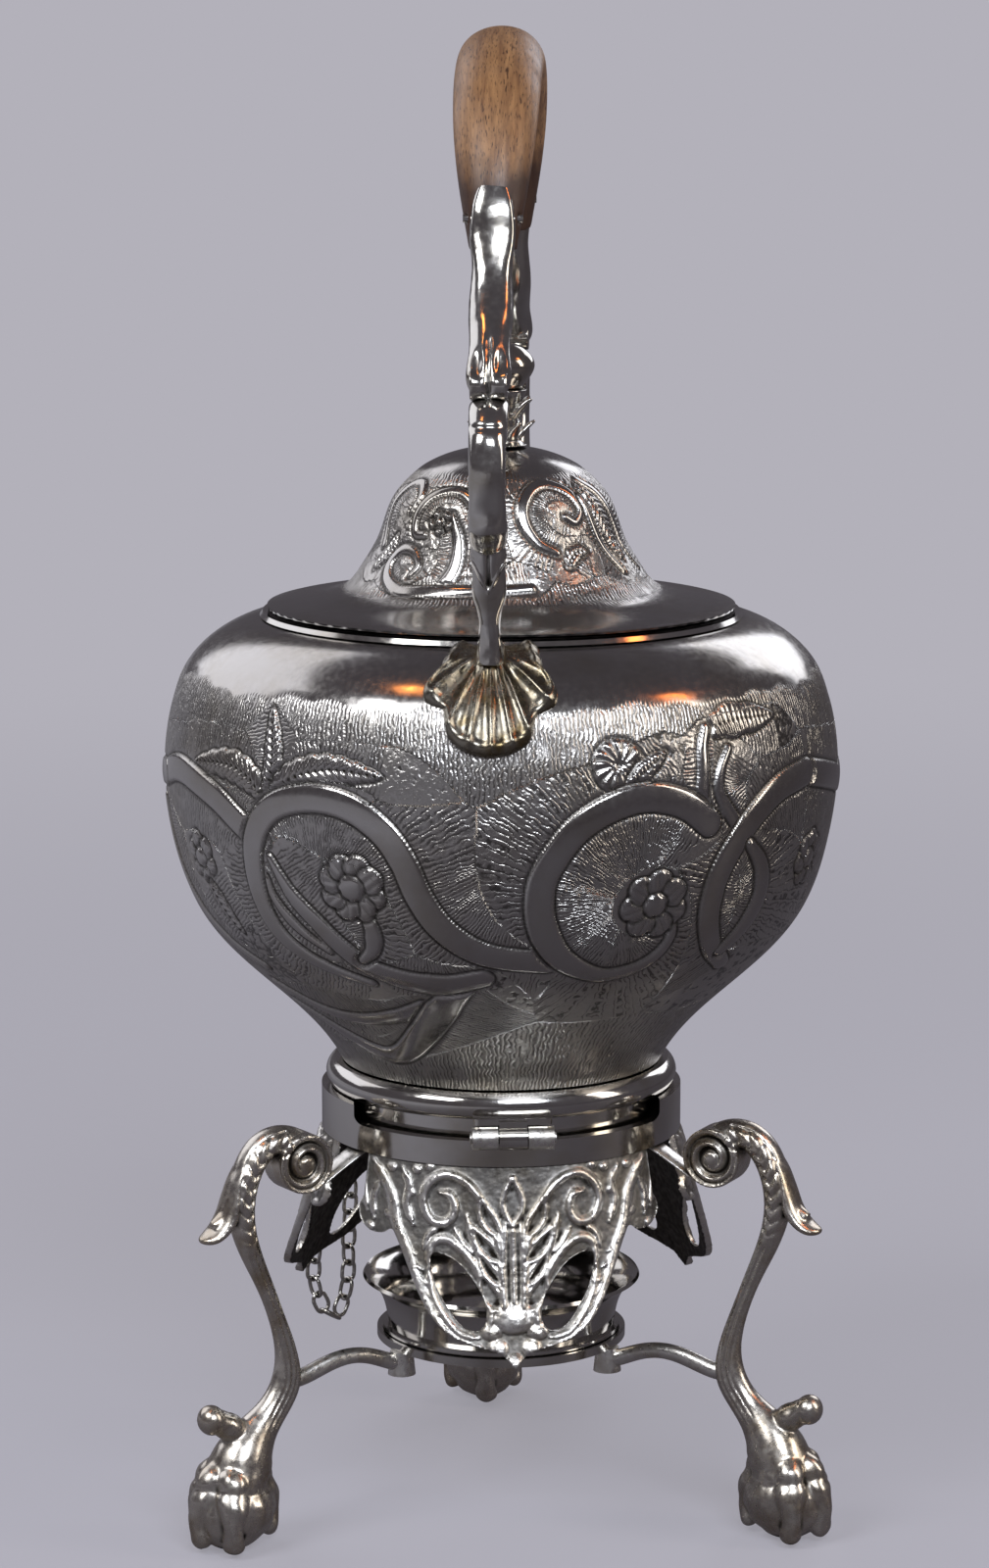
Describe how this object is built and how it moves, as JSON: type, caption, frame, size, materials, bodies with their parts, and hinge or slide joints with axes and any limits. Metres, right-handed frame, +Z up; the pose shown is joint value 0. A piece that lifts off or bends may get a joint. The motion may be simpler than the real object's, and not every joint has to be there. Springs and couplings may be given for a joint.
{
  "type": "samovar",
  "caption": "Domed kettle urn with an arched wooden grip and a rear tap, hinged on a three-legged stand over a spirit burner.",
  "frame": {"origin": "on the floor, under the middle of the whole object's box", "axes": "+Z up, -Y towards the hinge, +Y towards the tap"},
  "size_m": [0.1872, 0.229, 0.4108],
  "materials": {
    "plated_silver": "polished silver plate with light tarnish",
    "chased_silver": "hand-chased silver plate, dark in the grooves",
    "cast_silver": "cast and plated, brown tarnish in the recesses",
    "stained_wood": "worn stained fruitwood",
    "cotton_wick": "plaited cotton"
  },
  "bodies": {
    "stand": {"stand_ring": "plated_silver", "hinge_barrels": "cast_silver", "hinge_pin": "cast_silver", "apron_front": "cast_silver", "apron_right": "cast_silver", "apron_left": "cast_silver", "leg_left": "cast_silver", "leg_right": "cast_silver", "leg_rear": "cast_silver", "leg_strap_left": "cast_silver", "leg_strap_right": "cast_silver", "leg_strap_rear": "cast_silver", "strut_left": "cast_silver", "strut_right": "cast_silver", "strut_rear": "cast_silver", "cradle_ring": "plated_silver", "pin_keeper": "cast_silver", "chain_eye": "cast_silver", "chain": "cast_silver"},
    "kettle": {"body_shell": "chased_silver", "kettle_bottom": "plated_silver", "foot_flange": "plated_silver", "neck_ring": "plated_silver", "hinge_leaf": "plated_silver", "shell_mount_near": "plated_silver", "shell_mount_far": "plated_silver", "lower_scroll_near": "plated_silver", "lower_scroll_far": "plated_silver", "upper_arm_near": "plated_silver", "upper_arm_far": "plated_silver", "wood_grip": "stained_wood", "grip_pins": "plated_silver", "tap_flange": "plated_silver", "tap_body": "plated_silver"},
    "lid": {"lid_shell": "chased_silver", "lid_collar": "plated_silver", "finial_calyx": "plated_silver", "finial_knob": "plated_silver", "finial_stud": "plated_silver", "finial_nut": "plated_silver"},
    "tap_spindle": {"tap_plug": "plated_silver", "tap_key": "plated_silver", "tap_nut": "plated_silver"},
    "lock_pin": {"locking_pin": "cast_silver"},
    "burner": {"burner_cup": "plated_silver", "burner_cover": "plated_silver", "wick_tube": "plated_silver", "wick": "cotton_wick"}
  },
  "joints": [
    {"name": "kettle_tip", "type": "hinge", "parent": "stand", "child": "kettle", "pos_m": [0, -0.06998, 0.1165], "axis": [1, 0, 0], "range_deg": [0, 30]},
    {"name": "lid_lift", "type": "slide", "parent": "kettle", "child": "lid", "axis": [0, 0, 1], "range_m": [0, 0.045]},
    {"name": "tap_turn", "type": "hinge", "parent": "kettle", "child": "tap_spindle", "pos_m": [0.01073, 0.09339, 0.168], "axis": [0, 0, 1], "range_deg": [0, 90]},
    {"name": "pin_push", "type": "slide", "parent": "stand", "child": "lock_pin", "axis": [0.6157, -0.788, 0], "range_m": [0, 0.005]},
    {"name": "burner_lift", "type": "slide", "parent": "stand", "child": "burner", "axis": [0, 0, 1], "range_m": [0, 0.045]}
  ]
}
